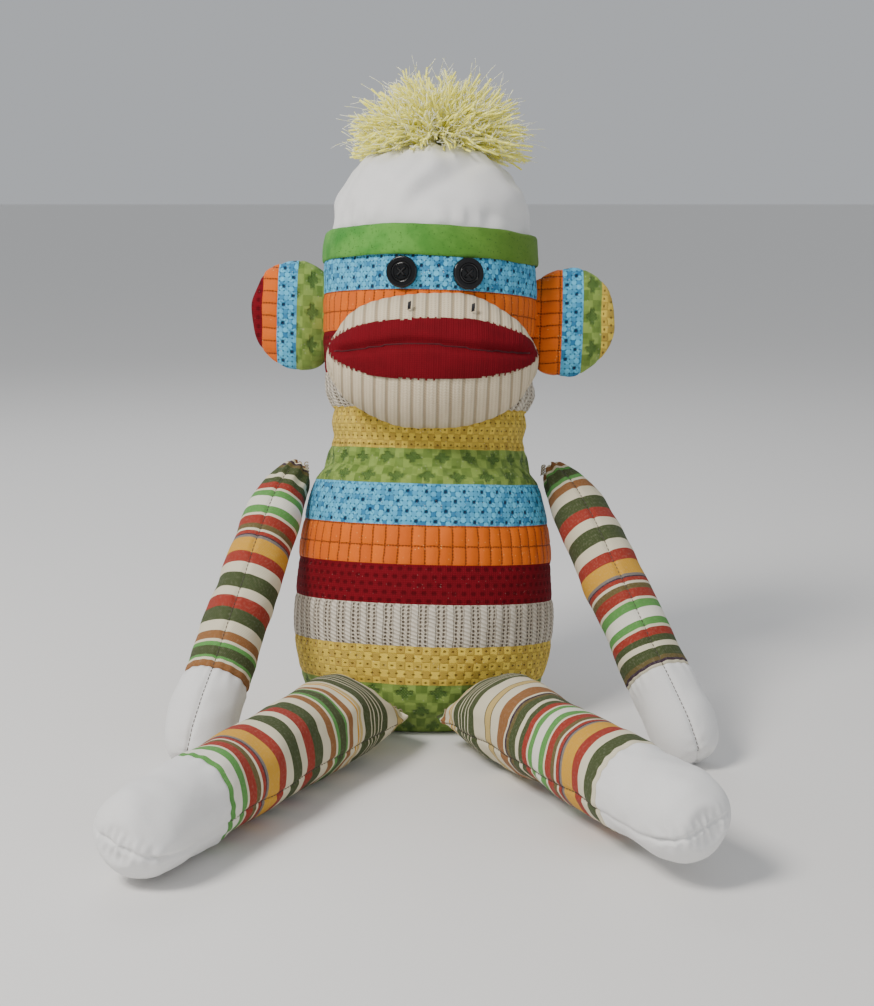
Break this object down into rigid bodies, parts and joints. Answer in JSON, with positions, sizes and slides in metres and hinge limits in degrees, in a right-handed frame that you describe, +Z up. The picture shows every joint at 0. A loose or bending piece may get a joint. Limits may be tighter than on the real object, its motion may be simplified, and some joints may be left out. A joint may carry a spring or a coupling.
{
  "type": "stuffed monkey",
  "caption": "Seated stuffed toy monkey sewn from striped knit, with stuffed muzzle, ears, arms and legs, a sewn hat and a yarn pom-pom.",
  "frame": {"origin": "on the floor under the middle of the flat seat of the torso", "axes": "+Z up, -Y the way the face looks, +X towards the viewer's right of a front view"},
  "size_m": [0.3116, 0.3875, 0.3829],
  "materials": {
    "striped_knit": "matte",
    "polyester_fill": "matte",
    "white_cotton": "matte",
    "green_batik": "matte",
    "yellow_yarn": "matte",
    "cream_knit": "matte",
    "red_knit": "matte",
    "red_thread": "matte",
    "black_thread": "matte",
    "black_button": "gloss",
    "striped_cotton": "matte",
    "grey_thread": "matte",
    "pale_thread": "matte"
  },
  "bodies": {
    "torso": {"torso_cover": "striped_knit", "torso_stuffing": "polyester_fill"},
    "neck": {"neck_cover": "striped_knit", "neck_stuffing": "polyester_fill"},
    "head": {"head_cover": "striped_knit", "head_stuffing": "polyester_fill", "hat_crown": "white_cotton", "hat_brim_band": "green_batik", "pompom": "yellow_yarn", "pompom_tie": "yellow_yarn", "muzzle_cover": "cream_knit", "lips": "red_knit", "muzzle_stuffing": "polyester_fill", "mouth_stitch": "red_thread", "nostril_knot_left": "black_thread", "nostril_knot_right": "black_thread", "eye_button_left": "black_button", "eye_thread_left": "black_thread", "eye_button_right": "black_button", "eye_thread_right": "black_thread", "ear_cover_left": "striped_knit", "ear_stuffing_left": "polyester_fill", "ear_cover_right": "striped_knit", "ear_stuffing_right": "polyester_fill"},
    "left_shoulder": {"shoulder_stitch_left": "pale_thread"},
    "left_arm": {"sleeve_left": "striped_cotton", "hand_cover_left": "white_cotton", "arm_stuffing_left": "polyester_fill", "arm_seam_thread_left": "grey_thread"},
    "right_shoulder": {"shoulder_stitch_right": "pale_thread"},
    "right_arm": {"sleeve_right": "striped_cotton", "hand_cover_right": "white_cotton", "arm_stuffing_right": "polyester_fill", "arm_seam_thread_right": "grey_thread"},
    "left_hip": {"hip_stitch_left": "pale_thread"},
    "left_leg": {"leg_sleeve_left": "striped_cotton", "foot_cover_left": "white_cotton", "leg_stuffing_left": "polyester_fill", "leg_seam_thread_left": "grey_thread"},
    "right_hip": {"hip_stitch_right": "pale_thread"},
    "right_leg": {"leg_sleeve_right": "striped_cotton", "foot_cover_right": "white_cotton", "leg_stuffing_right": "polyester_fill", "leg_seam_thread_right": "grey_thread"}
  },
  "joints": [
    {"name": "neck_turn", "type": "hinge", "parent": "torso", "child": "neck", "pos_m": [0.00285, 0.01531, 0.10889], "axis": [0.0259, 0.1392, 0.9899], "range_deg": [-20, 20], "stiffness_Nm_per_rad": 0.25},
    {"name": "neck_nod", "type": "hinge", "parent": "neck", "child": "head", "pos_m": [0.00285, 0.01531, 0.10889], "axis": [0.9997, 0, -0.0262], "range_deg": [-8, 8], "stiffness_Nm_per_rad": 1.2},
    {"name": "left_shoulder_swing", "type": "hinge", "parent": "torso", "child": "left_shoulder", "pos_m": [-0.06837, 0.0184, 0.14743], "axis": [-1, 0, 0], "range_deg": [-15, 80]},
    {"name": "left_shoulder_lift", "type": "hinge", "parent": "left_shoulder", "child": "left_arm", "pos_m": [-0.06837, 0.0184, 0.14743], "axis": [0, 0.7281, -0.6854], "range_deg": [0, 60]},
    {"name": "right_shoulder_swing", "type": "hinge", "parent": "torso", "child": "right_shoulder", "pos_m": [0.07307, 0.01755, 0.14649], "axis": [-1, 0, 0], "range_deg": [-15, 80]},
    {"name": "right_shoulder_lift", "type": "hinge", "parent": "right_shoulder", "child": "right_arm", "pos_m": [0.07307, 0.01755, 0.14649], "axis": [0, -0.755, 0.6557], "range_deg": [0, 60]},
    {"name": "left_hip_spread", "type": "hinge", "parent": "torso", "child": "left_hip", "pos_m": [-0.02697, -0.05483, 0.02704], "axis": [0, 0, -1], "range_deg": [-6, 6]},
    {"name": "left_hip_lift", "type": "hinge", "parent": "left_hip", "child": "left_leg", "pos_m": [-0.02697, -0.05483, 0.02704], "axis": [-0.8509, 0.3954, 0.3458], "range_deg": [0, 35]},
    {"name": "right_hip_spread", "type": "hinge", "parent": "torso", "child": "right_hip", "pos_m": [0.03004, -0.0548, 0.02695], "axis": [0, 0, 1], "range_deg": [-6, 6]},
    {"name": "right_hip_lift", "type": "hinge", "parent": "right_hip", "child": "right_leg", "pos_m": [0.03004, -0.0548, 0.02695], "axis": [-0.8575, -0.3809, -0.3458], "range_deg": [0, 35]}
  ]
}
